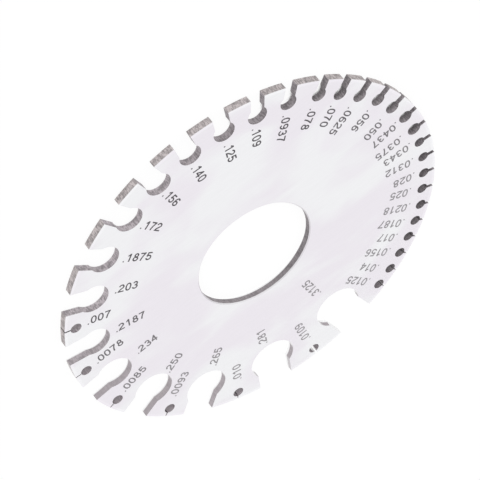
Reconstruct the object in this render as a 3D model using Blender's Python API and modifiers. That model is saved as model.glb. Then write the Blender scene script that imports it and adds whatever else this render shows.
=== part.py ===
"""Round wire and sheet metal gauge: one flat steel plate with keyhole slots round its rim.

The plate lies on its underside in the XY plane, and the side with the decimal sizes faces +Z.
The origin is on the plate's axis, at the underside.
"""

import math
from collections import namedtuple

import bmesh
import bpy
from mathutils import Matrix

MM = 0.001
INCH = 25.4 * MM

# Plate
PLATE_DIAMETER = 80.0 * MM
PLATE_THICKNESS = 1.6 * MM
CENTRE_HOLE_DIAMETER = 24.0 * MM
CENTRE_HOLE_CHAMFER = 0.2 * MM

# Direction of slot 0 in degrees from +X, and the bearings below run clockwise from it. It puts
# metal, and no slot, at the four outermost points of the plate along X and Y.
SLOT_ZERO_DIRECTION = 108.0

# Drills of the relief holes at the ends of the narrow and the finest slots
NARROW_DRILL = 2.75
FINE_DRILL = 2.2

# One row for each slot, in the order of the gauge numbers 0 to 36: the size that it gauges in
# inches, its bearing in degrees, and in millimetres the drill of its relief hole and how far
# that hole's centre lies inside the rim.
Slot = namedtuple("Slot", "size_inch bearing_deg drill_mm depth_mm")
SLOTS = (
    Slot(5 / 16, 0.0, 9.5, 7.5),
    Slot(9 / 32, 28.5, 9.4, 7.1),
    Slot(17 / 64, 54.5, 8.5, 6.4),
    Slot(1 / 4, 77.4, 8.0, 6.4),
    Slot(15 / 64, 99.3, 7.4, 6.0),
    Slot(7 / 32, 119.2, 6.3, 5.7),
    Slot(13 / 64, 138.6, 6.2, 5.3),
    Slot(3 / 16, 153.9, 5.8, 4.7),
    Slot(11 / 64, 168.6, 5.3, 4.7),
    Slot(5 / 32, 181.9, 4.9, 4.4),
    Slot(9 / 64, 193.9, 4.4, 4.1),
    Slot(1 / 8, 205.4, 4.3, 4.0),
    Slot(7 / 64, 216.3, 3.9, 4.1),
    Slot(3 / 32, 226.4, 3.3, 3.6),
    Slot(5 / 64, 236.6, 2.9, 3.2),
    Slot(9 / 128, 244.4, NARROW_DRILL, 3.2),
    Slot(1 / 16, 252.3, NARROW_DRILL, 3.2),
    Slot(9 / 160, 260.2, NARROW_DRILL, 2.9),
    Slot(1 / 20, 267.8, NARROW_DRILL, 2.9),
    Slot(7 / 160, 275.6, NARROW_DRILL, 2.6),
    Slot(3 / 80, 283.0, NARROW_DRILL, 2.6),
    Slot(11 / 320, 289.9, FINE_DRILL, 2.6),
    Slot(1 / 32, 297.0, FINE_DRILL, 2.5),
    Slot(9 / 320, 304.0, FINE_DRILL, 2.5),
    Slot(1 / 40, 310.5, FINE_DRILL, 2.5),
    Slot(7 / 320, 317.1, FINE_DRILL, 2.0),
    Slot(3 / 160, 323.2, FINE_DRILL, 2.0),
    Slot(11 / 640, 329.2, FINE_DRILL, 2.0),
    Slot(1 / 64, 335.3, FINE_DRILL, 2.0),
    Slot(9 / 640, 341.3, FINE_DRILL, 1.9),
    Slot(1 / 80, 347.3, FINE_DRILL, 1.9),
    Slot(7 / 640, 14.6, FINE_DRILL, 1.9),
    Slot(13 / 1280, 41.2, FINE_DRILL, 1.9),
    Slot(3 / 320, 65.7, FINE_DRILL, 2.0),
    Slot(11 / 1280, 88.2, FINE_DRILL, 2.1),
    Slot(5 / 640, 109.2, FINE_DRILL, 2.3),
    Slot(9 / 1280, 128.9, FINE_DRILL, 2.3),
)

# How far a flat facet may lie inside the true round, and how far a cutter runs past the metal
ROUND_TOLERANCE = 0.005 * MM
CUT_RUN_OUT = 1.0 * MM

SHARP_EDGE_ANGLE = math.radians(30)

STEEL_COLOUR = (0.80, 0.79, 0.80, 1.0)
STEEL_ROUGHNESS = 0.32

MID_HEIGHT = PLATE_THICKNESS / 2


def sides_for(radius):
    """Number of facets, a multiple of four, that keeps a circle within the round tolerance."""
    half_facet = math.acos(1 - ROUND_TOLERANCE / radius)
    return 4 * math.ceil(math.pi / half_facet / 4)


def new_collection(name):
    collection = bpy.data.collections.new(name)
    bpy.context.scene.collection.children.link(collection)
    return collection


def object_from_bmesh(name, shape, collection):
    mesh = bpy.data.meshes.new(name)
    shape.to_mesh(mesh)
    shape.free()
    obj = bpy.data.objects.new(name, mesh)
    collection.objects.link(obj)
    return obj


def cylinder(name, radius, height, collection):
    """Upright cylinder centred on its own origin."""
    shape = bmesh.new()
    bmesh.ops.create_cone(
        shape, cap_ends=True, segments=sides_for(radius), radius1=radius, radius2=radius, depth=height
    )
    return object_from_bmesh(name, shape, collection)


def box(name, length, width, height, collection):
    """Box centred on its own origin, with its length along X."""
    shape = bmesh.new()
    bmesh.ops.create_cube(shape, size=1.0, matrix=Matrix.Diagonal((length, width, height, 1.0)))
    return object_from_bmesh(name, shape, collection)


def mark_as_cutter(obj):
    obj.display_type = "WIRE"
    obj.hide_render = True


def steel_material():
    material = bpy.data.materials.new("satin_steel")
    material.use_nodes = True
    shader = material.node_tree.nodes["Principled BSDF"]
    shader.inputs["Base Color"].default_value = STEEL_COLOUR
    shader.inputs["Metallic"].default_value = 1.0
    shader.inputs["Roughness"].default_value = STEEL_ROUGHNESS
    return material


def add_centre_hole_cutter(collection):
    """Turned plug of the centre hole, opening out at 45 degrees through each face."""
    hole_radius = CENTRE_HOLE_DIAMETER / 2
    mouth_radius = hole_radius + CENTRE_HOLE_CHAMFER + CUT_RUN_OUT
    top = PLATE_THICKNESS + CUT_RUN_OUT
    bottom = -CUT_RUN_OUT
    profile = (
        (0.0, top),
        (mouth_radius, top),
        (hole_radius, PLATE_THICKNESS - CENTRE_HOLE_CHAMFER),
        (hole_radius, CENTRE_HOLE_CHAMFER),
        (mouth_radius, bottom),
        (0.0, bottom),
    )
    outline = bmesh.new()
    corners = [outline.verts.new((radius, 0.0, height)) for radius, height in profile]
    for first, second in zip(corners, corners[1:]):
        outline.edges.new((first, second))
    cutter = object_from_bmesh("centre_hole_cutter", outline, collection)
    turn = cutter.modifiers.new("turn", "SCREW")
    turn.axis = "Z"
    turn.steps = sides_for(hole_radius)
    turn.render_steps = turn.steps
    turn.use_merge_vertices = True
    turn.merge_threshold = 0.000001
    mark_as_cutter(cutter)


def add_slot_cutters(number, slot, collection):
    """Parallel slot that runs out through the rim, and the relief hole at its inner end."""
    direction = math.radians(SLOT_ZERO_DIRECTION - slot.bearing_deg)
    rim_radius = PLATE_DIAMETER / 2
    hole_distance = rim_radius - slot.depth_mm * MM
    slot_length = slot.depth_mm * MM + CUT_RUN_OUT
    slot_distance = hole_distance + slot_length / 2
    cut_height = PLATE_THICKNESS + 2 * CUT_RUN_OUT

    channel = box(f"slot_{number}_cutter", slot_length, slot.size_inch * INCH, cut_height, collection)
    relief = cylinder(f"relief_{number}_cutter", slot.drill_mm * MM / 2, cut_height, collection)
    for cutter, distance in ((channel, slot_distance), (relief, hole_distance)):
        cutter.location = (distance * math.cos(direction), distance * math.sin(direction), MID_HEIGHT)
        cutter.rotation_euler.z = direction
        mark_as_cutter(cutter)


def add_gauge_plate(parts, cutters):
    """Round blank, cut by every cutter at once."""
    plate = cylinder("gauge_plate", PLATE_DIAMETER / 2, PLATE_THICKNESS, parts)
    plate.data.transform(Matrix.Translation((0.0, 0.0, MID_HEIGHT)))
    plate.data.materials.append(steel_material())
    cut = plate.modifiers.new("centre_hole_and_slots", "BOOLEAN")
    cut.operation = "DIFFERENCE"
    cut.operand_type = "COLLECTION"
    cut.collection = cutters
    cut.solver = "EXACT"
    return plate


def apply_cuts(plate):
    """Keep the cut mesh, smooth round the holes and the rim and sharp at every corner."""
    evaluated = plate.evaluated_get(bpy.context.evaluated_depsgraph_get())
    mesh = bpy.data.meshes.new_from_object(evaluated)
    plate.modifiers.clear()
    plate.data = mesh
    mesh.name = plate.name
    mesh.shade_smooth()
    mesh.set_sharp_from_angle(angle=SHARP_EDGE_ANGLE)


def main():
    for obj in list(bpy.data.objects):
        bpy.data.objects.remove(obj, do_unlink=True)
    parts = new_collection("wire_gauge")
    cutters = new_collection("cutters")
    add_centre_hole_cutter(cutters)
    for number, slot in enumerate(SLOTS):
        add_slot_cutters(number, slot, cutters)
    plate = add_gauge_plate(parts, cutters)
    apply_cuts(plate)


main()
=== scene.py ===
"""Looks of the round wire gauge: satin steel, laser-marked sizes, pale floor, lamps and camera.

Lengths are in metres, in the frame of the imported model: the plate lies on its underside at z = 0,
its axis is the Z axis, and the side with the decimal sizes faces +Z.
"""

import math
from collections import namedtuple

import bmesh
import bpy
from mathutils import Matrix, Quaternion, Vector


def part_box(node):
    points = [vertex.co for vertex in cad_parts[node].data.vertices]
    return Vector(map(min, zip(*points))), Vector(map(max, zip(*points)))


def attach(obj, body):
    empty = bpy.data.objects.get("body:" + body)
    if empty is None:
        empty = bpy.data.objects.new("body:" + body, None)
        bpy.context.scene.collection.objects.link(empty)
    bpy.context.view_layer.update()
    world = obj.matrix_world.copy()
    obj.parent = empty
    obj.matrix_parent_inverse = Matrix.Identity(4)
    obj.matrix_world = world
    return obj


MM = 0.001

# Camera, as the photograph shows the plate: direction round the plate and above it, distance from
# the middle of the upper face, roll, focal length, and the pixel where that middle appears
PICTURE_PIXELS = 480
CAMERA_AZIMUTH = 7.8
CAMERA_ELEVATION = 34.552
CAMERA_DISTANCE = 500.0 * MM
CAMERA_ROLL = 140.22
SENSOR_WIDTH_MM = 36.0
LENS_MM = 203.57
CENTRE_PIXEL = (255.01, 254.07)

# Direction of slot 0 from +X; bearings run clockwise from it
SLOT_ZERO_DIRECTION = 108.0

# Laser marks: height of a digit, and in units of it the steps past a digit and past a point and
# the width of a stroke; how far the marks stand out of the metal, and how far they reach into it
DIGIT_HEIGHT = 1.86 * MM
DIGIT_ADVANCE = 0.777
POINT_ADVANCE = 0.388
STROKE_WIDTH = 0.155
MARK_RISE = 0.01 * MM
MARK_DEPTH = 0.02 * MM

# Strokes: step of the arcs in degrees, the cosine that holds the mitre of a sharp corner to twice
# the stroke's width, and the gap under which a stroke's two ends are one point
ARC_STEP_DEG = 15
MITRE_LIMIT = 0.5
SAME_POINT = 1e-6

# The size beside each slot of gauges 0 to 36, with the distance of its middle from the plate's
# axis in millimetres, its bearing in degrees, and its turn in degrees away from the radius
Mark = namedtuple("Mark", "size radius_mm bearing_deg turn_deg")
MARKS = (
    Mark(".3125", 21.5, -0.6, -7),
    Mark(".281", 24.9, 31.9, 5),
    Mark(".265", 25.7, 55.5, 1),
    Mark(".250", 26.9, 77.5, 1),
    Mark(".234", 26.0, 100.4, -2),
    Mark(".2187", 26.8, 119.7, 0),
    Mark(".203", 27.9, 140.1, 0),
    Mark(".1875", 28.0, 154.5, 4),
    Mark(".172", 29.3, 168.5, 6),
    Mark(".156", 30.2, 180.8, -5),
    Mark(".140", 30.4, 193.2, -3),
    Mark(".125", 30.2, 205.8, 1),
    Mark(".109", 30.7, 216.1, 2),
    Mark(".0937", 30.4, 226.8, -1),
    Mark(".078", 31.4, 236.5, -5),
    Mark(".070", 31.8, 244.5, -2),
    Mark(".0625", 31.0, 251.6, -7),
    Mark(".056", 32.1, 260.5, -5),
    Mark(".050", 31.8, 269.0, 2),
    Mark(".0437", 32.4, 275.5, -1),
    Mark(".0375", 31.6, 282.9, 1),
    Mark(".0343", 32.5, 288.8, 1),
    Mark(".0312", 32.2, 295.8, -7),
    Mark(".028", 33.0, 303.0, -3),
    Mark(".025", 32.4, 309.2, -9),
    Mark(".0218", 32.2, 316.0, -8),
    Mark(".0187", 32.0, 322.5, -8),
    Mark(".017", 32.5, 328.8, -5),
    Mark(".0156", 31.9, 335.2, 2),
    Mark(".014", 32.2, 341.9, 0),
    Mark(".0125", 31.8, 348.1, 6),
    Mark(".0109", 31.0, 15.1, 0),
    Mark(".010", 32.1, 42.8, 10),
    Mark(".0093", 31.9, 67.5, 1),
    Mark(".0085", 32.8, 89.7, 2),
    Mark(".0078", 32.4, 110.9, 8),
    Mark(".007", 33.0, 129.6, -3),
)

# Steel: its faces and its walls in light and in shade, the tint of cut walls, and the colour of painted
# highlights on the walls
FACE_LIGHT = (0.882, 0.882, 0.898, 1.0)
FACE_SHADE = (0.846, 0.814, 0.860, 1.0)
WALL_LIGHT = (0.690, 0.638, 0.638, 1.0)
WALL_DARK = (0.325, 0.297, 0.299, 1.0)
CUT_TINT = (1.0, 1.0, 1.045, 1.0)
PAINTED_HIGHLIGHT = (0.96, 0.96, 0.965, 1.0)

# Laser marks, fresh and worn
MARK_DARK = (0.105, 0.095, 0.105, 1.0)
MARK_WORN = (0.455, 0.435, 0.455, 1.0)

# Clouds on the faces: where on the noise the plate lies, the way they run and their size
CLOUD_ORIGIN = (-170 * MM, 58 * MM, 0.0)
CLOUD_DIRECTION = 7.0
CLOUD_SIZE = (19 * MM, 11 * MM, 13 * MM)

# Finer patterns: the size of their features in millimetres along X, Y and Z
FACE_GRAIN_MM = (4.0, 0.09, 1.0)
WALL_STREAKS_MM = (0.24, 0.24, 0.9)
WALL_BLOTCHES_MM = (1.1, 1.1, 1.1)
MARK_SPECKLE_MM = (0.12, 0.12, 0.12)

# Values of the noise between which clouds, walls and finer patterns change
CLOUD_CONTRAST = (0.39, 0.61)
WALL_CONTRAST = (0.385, 0.615)
NOISE_SPAN = (0.3, 0.7)
WIDE_NOISE_SPAN = (0.25, 0.75)

# Brightness or roughness where the noise is low and where it is high
GRAIN_SHADES = (0.975, 1.01)
MARK_SHADES = (0.82, 1.15)
FACE_ROUGHNESS = (0.40, 0.48)
WALL_ROUGHNESS = (0.50, 0.68)
MARK_ROUGHNESS = (0.55, 0.75)

# Bump that the faces' grain and the walls' streaks make
BUMP_STRENGTH = 0.25
BUMP_DEPTH = 0.01 * MM

# Share of blotches in the walls' pattern, and share of an even tone in it on the calm side
BLOTCH_SHARE = 0.3
CALM_SHARE = 0.7
EVEN_TONE = 0.5

# Upright part of the normal between which a surface begins to count as face, and outward part
# between which it begins to count as rim
FACE_TILT = (0.40, 0.85)
RIM_FACING = (0.8, 0.95)

# Distances from the axis between which the centre hole's looks end, and the rim and a painted
# highlight along the face's outer edge begin; and brightness of that painted highlight against the face
BORE_BAND = (13 * MM, 16 * MM)
RIM_BAND = (39.0 * MM, 39.5 * MM)
FACE_EDGE_HIGHLIGHTED_BAND = (39.2 * MM, 39.8 * MM)
FACE_EDGE_HIGHLIGHT = 1.05

# Painted light and shade on the cut walls: brightness against the turned rim on the lit and the
# shaded side of the plate. A narrow hole's wall runs from the first value, near its foot, to the
# second at its top, a painted shade that deepens toward the foot.
LIGHT_SLOT_WALL = 0.95
DARK_SLOT_WALL = 0.70
LIGHT_HOLE_WALL = (0.665, 1.159)
DARK_HOLE_WALL = (0.352, 0.896)
HOLE_FOOT = 0.1
LIGHT_BORE_WALL = 0.70
DARK_BORE_WALL = 0.55

# Shade of narrow holes on their dim side, and of walls deep in a slit
DIM_HOLE_SHADE = 0.81
DEEP_SLIT_SHADE = 0.42

# Openness runs from 0 deep in a slit to 1 on the rim: its samples, how far it looks, and the values
# between which a slit's painted shade lifts, a narrow hole opens out, and a slot gets its painted
# highlights
OPENNESS_SAMPLES = 16
CREVICE_REACH = 3.0 * MM
SLIT_OPENNESS = (0.10, 0.45)
NARROW_OPENNESS = (0.65, 0.90)
HIGHLIGHT_OPENNESS = (0.70, 0.85)

# Sides of the plate where a look comes in: a direction in degrees from +X, and the distances from
# the axis, measured in that direction, between which it grows
Side = namedtuple("Side", "direction_deg start_mm end_mm")
DARK_SLOTS = Side(198, -6, 29)
DARK_BORE = Side(143, 5, 12)
DIM_HOLES = Side(140, 20, 32)
CALM_WALLS = Side(68, -5, 25)
SHEEN_WALLS = Side(80, -5, 25)
SHEEN_RIM = Side(8, 38.0, 39.6)
BROAD_FOOT_HIGHLIGHT = Side(120, 25, 33)
BORE_FOOT_HIGHLIGHT = Side(85, 8, 12.5)
WORN_MARKS = Side(102, -28, 30)

# Painted highlight along the lower edges of the walls: its height at the axis, growth in one
# direction, what the broad side adds, the least and the most at the centre hole, and how softly it ends
FOOT_HIGHLIGHT_HEIGHT = 0.15 * MM
FOOT_HIGHLIGHT_DIRECTION = 68.0
FOOT_HIGHLIGHT_SLOPE = 0.18 / 38
BROAD_FOOT_HIGHLIGHT_HEIGHT = 0.31 * MM
BORE_FOOT_HIGHLIGHT_HEIGHTS = (0.2 * MM, 0.38 * MM)
FOOT_HIGHLIGHT_SOFTNESS = 0.10 * MM
BORE_FOOT_HIGHLIGHT_SOFTNESS = 0.05 * MM

# Walls that face this way, in degrees from +X, get no painted sheen, and those turned across it
# get a painted sheen on one side of the plate: the part of the normal between which the sheen ends,
# and the share of painted highlight where a wall gets the most sheen and where the rim is
SHEENLESS_FACING = -82.0
SHEEN_FACING_SPAN = (0.17, 0.42)
WALL_SHEEN_SHARE = 0.9
SHEEN_RIM_SHARE = 0.4

# Depth of the rim's broken upper edge, and how softly that edge and the lips of slots end
BROKEN_EDGE = 0.09 * MM
EDGE_SOFTNESS = 0.04 * MM

# Lips of slot 36, with painted shade on the rim, and of slot 31, with a painted highlight: the slot's
# bearing, how far they reach from a line along it, where they begin from the axis, and how far that
# line is off its middle
Lips = namedtuple("Lips", "bearing_deg reach_mm inner_end_mm offset_mm")
DARK_LIPS = Lips(128.9, 0.15, 38.0, 0.0)
BRIGHT_LIPS = Lips(14.6, 0.37, 37.0, -0.13)
LIP_FADE = 0.6 * MM
DARK_LIP_SHADE = 0.2

# Floor: its side, how far it lies below the plate, its colour under the lamps, and its glow
FLOOR_SIZE = 3.0
FLOOR_DROP = 0.002 * MM
FLOOR_COLOUR = (0.16, 0.16, 0.16, 1.0)
FLOOR_ROUGHNESS = 0.9
FLOOR_GLOW = 0.90

# Painted shadow on the floor below small holes and slits: the share of glow left there, how far the
# floor's openness looks, the values of it between which the shadow ends, the distances from the axis
# between which such holes begin, and those between which the mouth of slot 31, kept bright, begins
DEEP_FLOOR = 0.10
SHELTER_REACH = 4 * MM
SHELTER_OPENNESS = (0.335, 0.385)
SMALL_HOLE_BAND = (35.3 * MM, 35.7 * MM)
MOUTH_BAND = (38.9 * MM, 39.2 * MM)

# Light: colour of the background and the glow, strength of the soft light from all round, and the
# distance and size of the lamps
WHITE = (1.0, 1.0, 1.0, 1.0)
WORLD_LIGHT = 0.62
LAMP_DISTANCE = 1.2
LAMP_SIZE = 1.0


# Digit shapes: centre lines of strokes in units of the digit height, from the baseline at y = 0

def arc(centre, radii, start, end, power=2.0):
    """Points of an elliptical arc; a power above 2 squares the ellipse up."""
    steps = round(abs(end - start) / ARC_STEP_DEG)
    points = []
    for step in range(steps + 1):
        angle = math.radians(start + (end - start) * step / steps)
        across, up = math.cos(angle), math.sin(angle)
        points.append((
            centre[0] + radii[0] * math.copysign(abs(across) ** (2 / power), across),
            centre[1] + radii[1] * math.copysign(abs(up) ** (2 / power), up),
        ))
    return points


def bezier(start, first, second, end, steps=7):
    """Points of a cubic Bezier curve."""
    points = []
    for step in range(steps + 1):
        t = step / steps
        weights = ((1 - t) ** 3, 3 * t * (1 - t) ** 2, 3 * t * t * (1 - t), t ** 3)
        points.append(tuple(
            sum(weight * corner[axis] for weight, corner in zip(weights, (start, first, second, end)))
            for axis in (0, 1)
        ))
    return points


def half_turned(strokes):
    """The strokes turned by half a turn about the middle of the digit."""
    return [[(DIGIT_ADVANCE - x, 1 - y) for x, y in stroke] for stroke in strokes]


def digit_strokes():
    """Open strokes, or closed ones whose first and last points agree, for each character."""
    middle = DIGIT_ADVANCE / 2
    low, high = STROKE_WIDTH / 2, 1 - STROKE_WIDTH / 2
    six = [
        arc((middle + 0.005, 0.31), (0.245, 0.232), 0, 360),
        arc((middle + 0.03, 0.47), (0.27, 0.455), 180, 88)
        + arc((middle + 0.04, 0.70), (0.183, 0.225), 88, 25)[1:],
    ]
    return {
        "0": [arc((middle, 0.5), (0.25, 0.435), 0, 360, power=2.25)],
        "1": [
            [(0.45, 0.0), (0.45, 1.0)],
            bezier((0.165, 0.73), (0.27, 0.775), (0.36, 0.85), (0.41, 0.96), steps=4),
        ],
        "2": [
            arc((0.372, 0.69), (0.245, 0.235), 172, -12)
            + bezier((0.612, 0.64), (0.585, 0.50), (0.20, 0.36), (0.115, low))[1:]
            + [(0.695, low)]
        ],
        "3": [
            arc((0.372, 0.705), (0.208, 0.22), 165, -75) + [(0.33, 0.522)],
            [(0.33, 0.522)] + arc((0.375, 0.305), (0.25, 0.228), 78, -168),
        ],
        "4": [
            [(0.505, 0.0), (0.505, 1.0)],
            [(0.505, 0.93), (0.09, 0.305)],
            [(0.02, 0.305), (0.717, 0.305)],
        ],
        "5": [
            [(0.655, high), (0.225, high), (0.15, 0.48)],
            arc((0.375, 0.335), (0.258, 0.258), 152, -165),
        ],
        "6": six,
        "7": [
            [(0.07, high), (0.70, high)],
            bezier((0.65, high), (0.50, 0.73), (0.33, 0.40), (0.30, 0.0)),
        ],
        "8": [
            arc((middle, 0.735), (0.195, 0.195), 0, 360),
            arc((middle, 0.295), (0.248, 0.22), 0, 360),
        ],
        "9": half_turned(six),
        ".": [[(0.13, low), (0.27, low)]],
    }


def stroke_edges(points, closed):
    """Left and right edges of a stroke, mitred at its corners."""
    edges = []
    count = len(points)
    for index, point in enumerate(points):
        before = points[index - 1] if index or closed else None
        after = points[(index + 1) % count] if index < count - 1 or closed else None
        here = Vector(point)
        incoming = (here - Vector(before)).normalized() if before else None
        outgoing = (Vector(after) - here).normalized() if after else None
        heading = ((incoming or outgoing) + (outgoing or incoming)).normalized()
        reach = STROKE_WIDTH / 2 / max(MITRE_LIMIT, heading.dot(outgoing or incoming))
        side = Vector((-heading.y, heading.x)) * reach
        edges.append((here + side, here - side))
    return edges


def finished_mesh(name, shape):
    mesh = bpy.data.meshes.new(name)
    shape.to_mesh(mesh)
    shape.free()
    return mesh


def add_object(name, data):
    obj = bpy.data.objects.new(name, data)
    bpy.context.scene.collection.objects.link(obj)
    return obj


def stroke_mesh(points):
    """One stroke as a closed prism of unit height, standing on z = 0."""
    closed = (Vector(points[0]) - Vector(points[-1])).length < SAME_POINT
    edges = stroke_edges(points[:-1] if closed else points, closed)
    shape = bmesh.new()
    rings = []
    for left, right in edges:
        corners = ((left, 0), (right, 0), (right, 1), (left, 1))
        rings.append([shape.verts.new((flat.x, flat.y, height)) for flat, height in corners])
    pairs = list(zip(rings, rings[1:]))
    if closed:
        pairs.append((rings[-1], rings[0]))
    else:
        shape.faces.new(rings[0])
        shape.faces.new(rings[-1][::-1])
    for first, second in pairs:
        for corner in range(4):
            following = (corner + 1) % 4
            shape.faces.new((first[corner], second[corner], second[following], first[following]))
    bmesh.ops.recalc_face_normals(shape, faces=shape.faces)
    return finished_mesh("stroke", shape)


def character_meshes():
    """One mesh for each character, its strokes joined into a single closed form."""
    meshes = {}
    for character, strokes in digit_strokes().items():
        solids = [add_object("stroke", stroke_mesh(stroke)) for stroke in strokes]
        for other in solids[1:]:
            join = solids[0].modifiers.new("join", "BOOLEAN")
            join.operation = "UNION"
            join.solver = "EXACT"
            join.object = other
        depsgraph = bpy.context.evaluated_depsgraph_get()
        meshes[character] = bpy.data.meshes.new_from_object(solids[0].evaluated_get(depsgraph))
        for solid in solids:
            bpy.data.objects.remove(solid)
    return meshes


def advance(character):
    return POINT_ADVANCE if character == "." else DIGIT_ADVANCE


def text_width(text):
    return sum(advance(character) for character in text) * DIGIT_HEIGHT


def add_text(shape, text, place, characters):
    """Adds the text to the mesh, centred on the place's origin and written along its X axis."""
    pen = -text_width(text) / 2
    for character in text:
        fit = place @ Matrix.Translation((pen, -DIGIT_HEIGHT / 2, -MARK_DEPTH))
        fit = fit @ Matrix.Diagonal((DIGIT_HEIGHT, DIGIT_HEIGHT, MARK_DEPTH + MARK_RISE, 1.0))
        copy = characters[character].copy()
        copy.transform(fit)
        shape.from_mesh(copy)
        bpy.data.meshes.remove(copy)
        pen += advance(character) * DIGIT_HEIGHT


def mark_place(origin, reading, up, turn=0.0):
    """Matrix with its X axis along the reading direction and Y up the digits, then turned."""
    outwards = reading.cross(up)
    axes = Matrix((reading, up, outwards)).transposed().to_4x4()
    return Matrix.Translation(origin) @ axes @ Matrix.Rotation(math.radians(turn), 4, "Z")


def radial_directions(bearing):
    """Outward and anticlockwise unit vectors at a bearing."""
    angle = math.radians(SLOT_ZERO_DIRECTION - bearing)
    outward = Vector((math.cos(angle), math.sin(angle), 0.0))
    return outward, Vector((-outward.y, outward.x, 0.0))


def add_marks(name, shape, material):
    obj = add_object(name, finished_mesh(name, shape))
    obj.data.materials.append(material)
    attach(obj, "root")


def add_decimal_sizes(top, characters, material):
    """Sizes on the upper face: each reads inwards along its slot's radius, point outermost."""
    shape = bmesh.new()
    for mark in MARKS:
        outward, anticlockwise = radial_directions(mark.bearing_deg)
        origin = outward * mark.radius_mm * MM + Vector((0, 0, top))
        place = mark_place(origin, -outward, -anticlockwise, mark.turn_deg)
        add_text(shape, mark.size, place, characters)
    add_marks("decimal_sizes", shape, material)


def add_gauge_numbers(characters, material):
    """Gauge numbers 0 to 36 on the underside, upright to the rim, behind the sizes."""
    shape = bmesh.new()
    for number, mark in enumerate(MARKS):
        outward, anticlockwise = radial_directions(mark.bearing_deg)
        outer_end = mark.radius_mm * MM + text_width(mark.size) / 2
        origin = outward * (outer_end - DIGIT_HEIGHT / 2)
        place = mark_place(origin, anticlockwise, outward)
        add_text(shape, str(number), place, characters)
    add_marks("gauge_numbers", shape, material)


# Materials

class Nodes:
    """Short calls for building one material's node tree."""

    def __init__(self, tree):
        self.tree = tree

    def add(self, kind, **settings):
        node = self.tree.nodes.new(kind)
        for name, value in settings.items():
            setattr(node, name, value)
        return node

    def link(self, source, target):
        self.tree.links.new(source, target)

    def set_input(self, node, index, value):
        if isinstance(value, bpy.types.NodeSocket):
            self.link(value, node.inputs[index])
        else:
            node.inputs[index].default_value = value

    def math(self, operation, first, second=0.0, third=0.0):
        node = self.add("ShaderNodeMath", operation=operation)
        for index, value in enumerate((first, second, third)):
            self.set_input(node, index, value)
        return node.outputs[0]

    def vector_math(self, operation, first, second=(0.0, 0.0, 0.0)):
        """The node's vector, or its number where the operation gives one."""
        node = self.add("ShaderNodeVectorMath", operation=operation)
        self.set_input(node, 0, first)
        self.set_input(node, 1, second)
        return node.outputs["Value" if operation in ("DOT_PRODUCT", "LENGTH") else "Vector"]

    def smooth_step(self, value, low, high, start=0.0, end=1.0):
        node = self.add("ShaderNodeMapRange", interpolation_type="SMOOTHSTEP")
        for index, number in enumerate((value, low, high, start, end)):
            self.set_input(node, index, number)
        return node.outputs[0]

    def below(self, value, edge, softness):
        """1 below an edge and 0 above it, changing over the softness on both sides of it."""
        above = self.math("SUBTRACT", value, edge)
        return self.smooth_step(above, -softness, softness, 1.0, 0.0)

    def mix_colour(self, factor, first, second, blend="MIX"):
        node = self.add("ShaderNodeMix", data_type="RGBA", blend_type=blend)
        for index, value in ((0, factor), (6, first), (7, second)):
            self.set_input(node, index, value)
        return node.outputs[2]

    def tinted(self, colour, tint):
        """The colour multiplied by another colour or by a brightness."""
        return self.mix_colour(1.0, colour, tint, blend="MULTIPLY")

    def mix_value(self, factor, first, second):
        node = self.add("ShaderNodeMix", data_type="FLOAT")
        for index, value in ((0, factor), (2, first), (3, second)):
            self.set_input(node, index, value)
        return node.outputs[0]

    def in_units(self, place, sizes_mm):
        """The place measured in units of a size along each axis."""
        return self.vector_math("MULTIPLY", place, tuple(1 / (size * MM) for size in sizes_mm))

    def mapped(self, place, origin, turn, size):
        """The place seen from another origin, turned about Z and measured in units of the size."""
        node = self.add("ShaderNodeMapping", vector_type="TEXTURE")
        self.link(place, node.inputs["Vector"])
        node.inputs["Location"].default_value = origin
        node.inputs["Rotation"].default_value = (0.0, 0.0, math.radians(turn))
        node.inputs["Scale"].default_value = size
        return node.outputs[0]

    def noise(self, place, detail, roughness=0.5, distortion=0.0):
        node = self.add("ShaderNodeTexNoise")
        self.link(place, node.inputs["Vector"])
        node.inputs["Scale"].default_value = 1.0
        node.inputs["Detail"].default_value = detail
        node.inputs["Roughness"].default_value = roughness
        node.inputs["Distortion"].default_value = distortion
        return node.outputs["Fac"]

    def openness(self, reach, only_local=False):
        """How open the space before a surface is: 0 deep in a slit, 1 out in the open."""
        node = self.add("ShaderNodeAmbientOcclusion", samples=OPENNESS_SAMPLES, only_local=only_local)
        node.inputs["Distance"].default_value = reach
        return node.outputs["AO"]


def new_material(name):
    material = bpy.data.materials.new(name)
    material.use_nodes = True
    nodes = Nodes(material.node_tree)
    return material, nodes, material.node_tree.nodes["Principled BSDF"]


def along(nodes, place, direction):
    """Distance of a point from the plate's axis in one direction, in metres."""
    turn = math.radians(direction)
    return nodes.vector_math("DOT_PRODUCT", place, (math.cos(turn), math.sin(turn), 0.0))


def toward(nodes, place, side, start=0.0, end=1.0):
    """Runs from the start value to the end value across the plate, toward a side of it."""
    distance = along(nodes, place, side.direction_deg)
    return nodes.smooth_step(distance, side.start_mm * MM, side.end_mm * MM, start, end)


def height_of(nodes, place):
    parts = nodes.add("ShaderNodeSeparateXYZ")
    nodes.link(place, parts.inputs[0])
    return parts.outputs["Z"]


def flattened(nodes, place):
    return nodes.vector_math("MULTIPLY", place, (1.0, 1.0, 0.0))


def radius_of(nodes, place):
    return nodes.vector_math("LENGTH", flattened(nodes, place))


def rim_share(nodes, place, normal):
    """1 on the rim, whose surface faces straight outwards, and 0 on the walls of slots and holes."""
    outward = nodes.vector_math("NORMALIZE", flattened(nodes, place))
    facing = nodes.smooth_step(nodes.vector_math("DOT_PRODUCT", outward, normal), *RIM_FACING)
    return nodes.math("MULTIPLY", nodes.smooth_step(radius_of(nodes, place), *RIM_BAND), facing)


def bore_share(nodes, place):
    """1 at the centre hole, and 0 at the slots and the rim."""
    return nodes.smooth_step(radius_of(nodes, place), *BORE_BAND, 1.0, 0.0)


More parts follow.
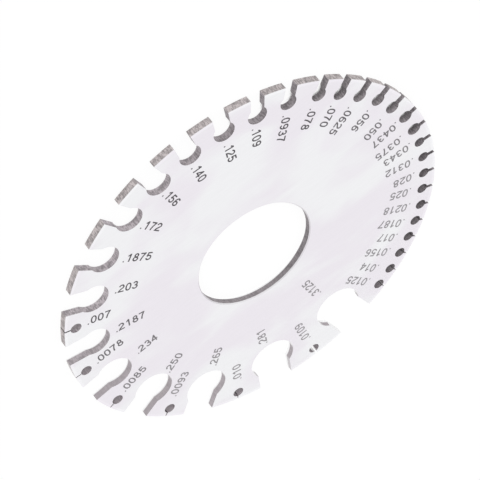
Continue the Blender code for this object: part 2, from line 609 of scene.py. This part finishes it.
def wall_level(nodes, place, rim, free, top):
    """Painted light and shade on a wall by where it is: turned rim, slots, or centre hole; lit or shaded
    side, shade deep in slits and toward the foot of narrow holes.
    """
    height = height_of(nodes, place)
    narrow = nodes.smooth_step(free, *NARROW_OPENNESS, 1.0, 0.0)
    light_hole = nodes.smooth_step(height, HOLE_FOOT * top, top, *LIGHT_HOLE_WALL)
    dark_hole = nodes.smooth_step(height, HOLE_FOOT * top, top, *DARK_HOLE_WALL)
    light = nodes.mix_value(narrow, LIGHT_SLOT_WALL, light_hole)
    dark = nodes.mix_value(narrow, DARK_SLOT_WALL, dark_hole)
    slots = nodes.mix_value(toward(nodes, place, DARK_SLOTS), light, dark)
    slots = nodes.math("MULTIPLY", slots, nodes.smooth_step(free, *SLIT_OPENNESS, DEEP_SLIT_SHADE, 1.0))
    dim = toward(nodes, place, DIM_HOLES, 1.0, DIM_HOLE_SHADE)
    slots = nodes.math("MULTIPLY", slots, nodes.mix_value(narrow, 1.0, dim))
    bore = nodes.mix_value(toward(nodes, place, DARK_BORE), LIGHT_BORE_WALL, DARK_BORE_WALL)
    return nodes.mix_value(bore_share(nodes, place), nodes.mix_value(rim, slots, 1.0), bore)


def broken_edge(nodes, place, rim, top):
    """1 on the upper edge of the rim, which is broken and polished with the face."""
    edge = top - BROKEN_EDGE
    upper = nodes.smooth_step(height_of(nodes, place), edge - EDGE_SOFTNESS, edge + EDGE_SOFTNESS)
    return nodes.math("MULTIPLY", rim, upper)


def rolled_edge(nodes, place):
    """1 on the lower edge of a wall, where a highlight is painted, higher toward one side."""
    # roll is the height up to which the highlight is painted
    roll = nodes.math("MULTIPLY_ADD", along(nodes, place, FOOT_HIGHLIGHT_DIRECTION), FOOT_HIGHLIGHT_SLOPE, FOOT_HIGHLIGHT_HEIGHT)
    broad = toward(nodes, place, BROAD_FOOT_HIGHLIGHT, 0.0, BROAD_FOOT_HIGHLIGHT_HEIGHT)
    return nodes.below(height_of(nodes, place), nodes.math("ADD", roll, broad), FOOT_HIGHLIGHT_SOFTNESS)


def rolled_bore_edge(nodes, place):
    """1 on the lower edge of the centre hole's wall, where a highlight is painted, higher on one side."""
    # roll is the height up to which the highlight is painted
    roll = toward(nodes, place, BORE_FOOT_HIGHLIGHT, *BORE_FOOT_HIGHLIGHT_HEIGHTS)
    return nodes.below(height_of(nodes, place), roll, BORE_FOOT_HIGHLIGHT_SOFTNESS)


def rubbed_wall(nodes, place, normal):
    """Share of painted sheen on a wall turned across the sheenless direction, on one side of the plate."""
    facing = nodes.smooth_step(along(nodes, normal, SHEENLESS_FACING), *SHEEN_FACING_SPAN, WALL_SHEEN_SHARE, 0.0)
    return nodes.math("MULTIPLY", facing, toward(nodes, place, SHEEN_WALLS))


def slot_lips(nodes, place, lips):
    """1 along both lips of a slot, from a distance out from the axis outwards."""
    direction = SLOT_ZERO_DIRECTION - lips.bearing_deg
    across = nodes.math("SUBTRACT", along(nodes, place, direction + 90.0), lips.offset_mm * MM)
    near = nodes.below(nodes.math("ABSOLUTE", across), lips.reach_mm * MM, EDGE_SOFTNESS)
    inner_end = lips.inner_end_mm * MM
    outer = nodes.smooth_step(along(nodes, place, direction), inner_end, inner_end + LIP_FADE)
    return nodes.math("MULTIPLY", near, outer)


def bright_wall(nodes, place, normal, rim, free):
    """Share of painted highlight on a wall: its lower edge, walls turned sideways, a slot's lips, part of
    the rim.
    """
    bright = nodes.math("MAXIMUM", rolled_edge(nodes, place), rubbed_wall(nodes, place, normal))
    bright = nodes.math("MULTIPLY", bright, nodes.smooth_step(free, *HIGHLIGHT_OPENNESS))
    bright = nodes.mix_value(bore_share(nodes, place), bright, rolled_bore_edge(nodes, place))
    bright = nodes.math("MAXIMUM", bright, slot_lips(nodes, place, BRIGHT_LIPS))
    return nodes.mix_value(rim, bright, toward(nodes, place, SHEEN_RIM, 0.0, SHEEN_RIM_SHARE))


def face_finish(nodes, place):
    """Colour and grain of the faces: soft clouds one or two centimetres long, a satin grain, and a painted
    highlight along the outer edge.
    """
    cloud_place = nodes.mapped(place, CLOUD_ORIGIN, CLOUD_DIRECTION, CLOUD_SIZE)
    clouds = nodes.smooth_step(nodes.noise(cloud_place, detail=2.5, distortion=0.4), *CLOUD_CONTRAST)
    colour = nodes.mix_colour(clouds, FACE_SHADE, FACE_LIGHT)
    grain = nodes.noise(nodes.in_units(place, FACE_GRAIN_MM), detail=4.0, roughness=0.6)
    grain_shade = nodes.smooth_step(grain, *NOISE_SPAN, *GRAIN_SHADES)
    face_edge_highlight = nodes.smooth_step(radius_of(nodes, place), *FACE_EDGE_HIGHLIGHTED_BAND, 1.0, FACE_EDGE_HIGHLIGHT)
    return nodes.tinted(colour, nodes.math("MULTIPLY", grain_shade, face_edge_highlight)), grain


def wall_finish(nodes, place, rim, free, top):
    """Colour and grain of the walls: streaks drawn out across the thickness, and blotches."""
    streaks = nodes.noise(nodes.in_units(place, WALL_STREAKS_MM), detail=2.0, roughness=0.7)
    blotches = nodes.noise(nodes.in_units(place, WALL_BLOTCHES_MM), detail=2.0)
    pattern = nodes.mix_value(BLOTCH_SHARE, streaks, blotches)
    calm = toward(nodes, place, CALM_WALLS, 0.0, CALM_SHARE)
    tone = nodes.mix_value(calm, nodes.smooth_step(pattern, *WALL_CONTRAST), EVEN_TONE)
    colour = nodes.mix_colour(tone, WALL_DARK, WALL_LIGHT)
    colour = nodes.tinted(colour, wall_level(nodes, place, rim, free, top))
    return nodes.mix_colour(rim, nodes.tinted(colour, CUT_TINT), colour), streaks


def steel_material(top):
    """Near-white satin faces, and dull grained walls where the plate was cut, with painted light, shade,
    highlights and sheen on the walls.
    """
    material, nodes, shader = new_material("satin_steel_finish")
    texture = nodes.add("ShaderNodeTexCoord")
    place = texture.outputs["Object"]
    normal = texture.outputs["Normal"]
    face = nodes.smooth_step(nodes.math("ABSOLUTE", height_of(nodes, normal)), *FACE_TILT)
    rim = rim_share(nodes, place, normal)
    free = nodes.openness(CREVICE_REACH, only_local=True)
    bright = bright_wall(nodes, place, normal, rim, free)
    face_like = nodes.math("MAXIMUM", face, broken_edge(nodes, place, rim, top))
    # polish covers the faces and the walls' painted highlights, which take the faces' roughness and grain
    polish = nodes.math("MAXIMUM", face_like, bright)

    face_colour, grain = face_finish(nodes, place)
    wall_colour, streaks = wall_finish(nodes, place, rim, free, top)
    # Painted highlights on the walls
    colour = nodes.mix_colour(bright, wall_colour, PAINTED_HIGHLIGHT)
    colour = nodes.mix_colour(face_like, colour, face_colour)
    # Painted shade along the lips of slot 36
    lip_shade = nodes.mix_value(slot_lips(nodes, place, DARK_LIPS), 1.0, DARK_LIP_SHADE)
    nodes.link(nodes.tinted(colour, lip_shade), shader.inputs["Base Color"])
    shader.inputs["Metallic"].default_value = 1.0
    face_roughness = nodes.smooth_step(grain, *WIDE_NOISE_SPAN, *FACE_ROUGHNESS)
    wall_roughness = nodes.smooth_step(streaks, *NOISE_SPAN, *WALL_ROUGHNESS)
    nodes.link(nodes.mix_value(polish, wall_roughness, face_roughness), shader.inputs["Roughness"])

    bump = nodes.add("ShaderNodeBump")
    bump.inputs["Strength"].default_value = BUMP_STRENGTH
    bump.inputs["Distance"].default_value = BUMP_DEPTH
    nodes.link(nodes.mix_value(polish, streaks, grain), bump.inputs["Height"])
    nodes.link(bump.outputs[0], shader.inputs["Normal"])
    return material


def mark_material():
    """Dark oxide left by a laser, uneven from dot to dot and paler on the side that wears."""
    material, nodes, shader = new_material("laser_mark")
    place = nodes.add("ShaderNodeTexCoord").outputs["Object"]
    speckle = nodes.noise(nodes.in_units(place, MARK_SPECKLE_MM), detail=2.0)
    colour = nodes.mix_colour(toward(nodes, place, WORN_MARKS), MARK_DARK, MARK_WORN)
    colour = nodes.tinted(colour, nodes.smooth_step(speckle, *NOISE_SPAN, *MARK_SHADES))
    nodes.link(colour, shader.inputs["Base Color"])
    nodes.link(nodes.smooth_step(speckle, *NOISE_SPAN, *MARK_ROUGHNESS), shader.inputs["Roughness"])
    return material


# Surroundings

def shown(nodes, to_camera=1.0):
    """1 in reflections, the given share to the camera, and 0 in the light that falls on things."""
    path = nodes.add("ShaderNodeLightPath")
    share = nodes.math("MULTIPLY", path.outputs["Is Camera Ray"], to_camera)
    for ray in ("Is Glossy Ray", "Is Transmission Ray"):
        share = nodes.math("MAXIMUM", share, path.outputs[ray])
    return share


def lit_floor(nodes):
    """Painted shadow on the floor below small holes and slits; 1 elsewhere and at the mouth of slot 31,
    which is kept bright.
    """
    open_above = nodes.smooth_step(nodes.openness(SHELTER_REACH), *SHELTER_OPENNESS, DEEP_FLOOR, 1.0)
    place = nodes.add("ShaderNodeTexCoord").outputs["Object"]
    radius = radius_of(nodes, place)
    inside = nodes.smooth_step(radius, *SMALL_HOLE_BAND, 1.0, 0.0)
    mouth = nodes.smooth_step(radius, *MOUTH_BAND)
    bright_mouth = nodes.math("MULTIPLY", slot_lips(nodes, place, BRIGHT_LIPS), mouth)
    return nodes.math("MAXIMUM", open_above, nodes.math("MAXIMUM", inside, bright_mouth))


def floor_material():
    """Grey under the lamps, with a white glow that only the camera and reflections see."""
    material, nodes, shader = new_material("pale_floor")
    shader.inputs["Base Color"].default_value = FLOOR_COLOUR
    shader.inputs["Roughness"].default_value = FLOOR_ROUGHNESS
    shader.inputs["Specular IOR Level"].default_value = 0.0
    white = nodes.add("ShaderNodeEmission")
    white.inputs["Color"].default_value = WHITE
    # The floor's glow is dimmed where lit_floor paints shadow
    glow = nodes.math("MULTIPLY", shown(nodes, lit_floor(nodes)), FLOOR_GLOW)
    nodes.link(glow, white.inputs["Strength"])
    total = nodes.add("ShaderNodeAddShader")
    nodes.link(shader.outputs[0], total.inputs[0])
    nodes.link(white.outputs[0], total.inputs[1])
    nodes.link(total.outputs[0], material.node_tree.nodes["Material Output"].inputs["Surface"])
    return material


def add_floor():
    shape = bmesh.new()
    bmesh.ops.create_grid(shape, x_segments=1, y_segments=1, size=FLOOR_SIZE / 2)
    floor = add_object("floor", finished_mesh("floor", shape))
    floor.location.z = -FLOOR_DROP
    floor.data.materials.append(floor_material())


def set_world():
    """White to the camera and in reflections, and plain soft light on everything else."""
    world = bpy.data.worlds.new("studio")
    world.use_nodes = True
    bpy.context.scene.world = world
    nodes = Nodes(world.node_tree)
    background = world.node_tree.nodes["Background"]
    background.inputs["Color"].default_value = WHITE
    nodes.link(nodes.mix_value(shown(nodes), WORLD_LIGHT, 1.0), background.inputs["Strength"])


def direction_to(azimuth, elevation):
    """Unit vector from the plate toward a lamp or the camera; azimuth 0 is the -Y side."""
    turn, rise = math.radians(azimuth), math.radians(elevation)
    return Vector((math.sin(turn) * math.cos(rise), -math.cos(turn) * math.cos(rise), math.sin(rise)))


def add_lamp(name, azimuth, elevation, power):
    """Soft square lamp aimed at the plate."""
    back = direction_to(azimuth, elevation)
    data = bpy.data.lights.new(name, "AREA")
    data.size = LAMP_SIZE
    data.energy = power
    lamp = add_object(name, data)
    lamp.location = back * LAMP_DISTANCE
    lamp.rotation_mode = "QUATERNION"
    lamp.rotation_quaternion = (-back).to_track_quat("-Z", "Y")


def add_camera(top):
    """Camera aimed at the middle of the upper face, rolled, then turned to place that middle."""
    back = direction_to(CAMERA_AZIMUTH, CAMERA_ELEVATION)
    focal_pixels = LENS_MM / SENSOR_WIDTH_MM * PICTURE_PIXELS
    across = (CENTRE_PIXEL[0] - PICTURE_PIXELS / 2) / focal_pixels
    down = (CENTRE_PIXEL[1] - PICTURE_PIXELS / 2) / focal_pixels
    aim = Vector((0, 0, -1)).rotation_difference(Vector((across, -down, -1)))
    data = bpy.data.cameras.new("camera")
    data.sensor_width = SENSOR_WIDTH_MM
    data.lens = LENS_MM
    data.clip_start = 0.01
    data.clip_end = 10.0
    camera = add_object("camera", data)
    camera.location = back * CAMERA_DISTANCE + Vector((0, 0, top))
    look = (-back).to_track_quat("-Z", "Y")
    roll = Quaternion((0, 0, 1), math.radians(CAMERA_ROLL))
    camera.rotation_mode = "QUATERNION"
    camera.rotation_quaternion = look @ roll @ aim.inverted()
    bpy.context.scene.camera = camera


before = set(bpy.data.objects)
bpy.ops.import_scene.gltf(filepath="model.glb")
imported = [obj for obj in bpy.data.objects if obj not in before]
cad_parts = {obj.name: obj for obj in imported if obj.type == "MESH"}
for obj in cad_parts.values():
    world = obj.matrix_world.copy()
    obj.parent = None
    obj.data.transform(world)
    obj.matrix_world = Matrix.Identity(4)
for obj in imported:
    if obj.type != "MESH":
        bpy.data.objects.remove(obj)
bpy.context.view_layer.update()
plate_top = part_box("gauge_plate")[1].z

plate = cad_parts["gauge_plate"]
plate.data.materials.clear()
plate.data.materials.append(steel_material(plate_top))

characters = character_meshes()
laser = mark_material()
add_decimal_sizes(plate_top, characters, laser)
add_gauge_numbers(characters, laser)

add_floor()
set_world()
add_lamp("key_lamp", azimuth=-70, elevation=55, power=0.7)
add_lamp("fill_lamp", azimuth=110, elevation=45, power=0.4)
add_camera(plate_top)
bpy.context.scene.view_settings.view_transform = "Standard"
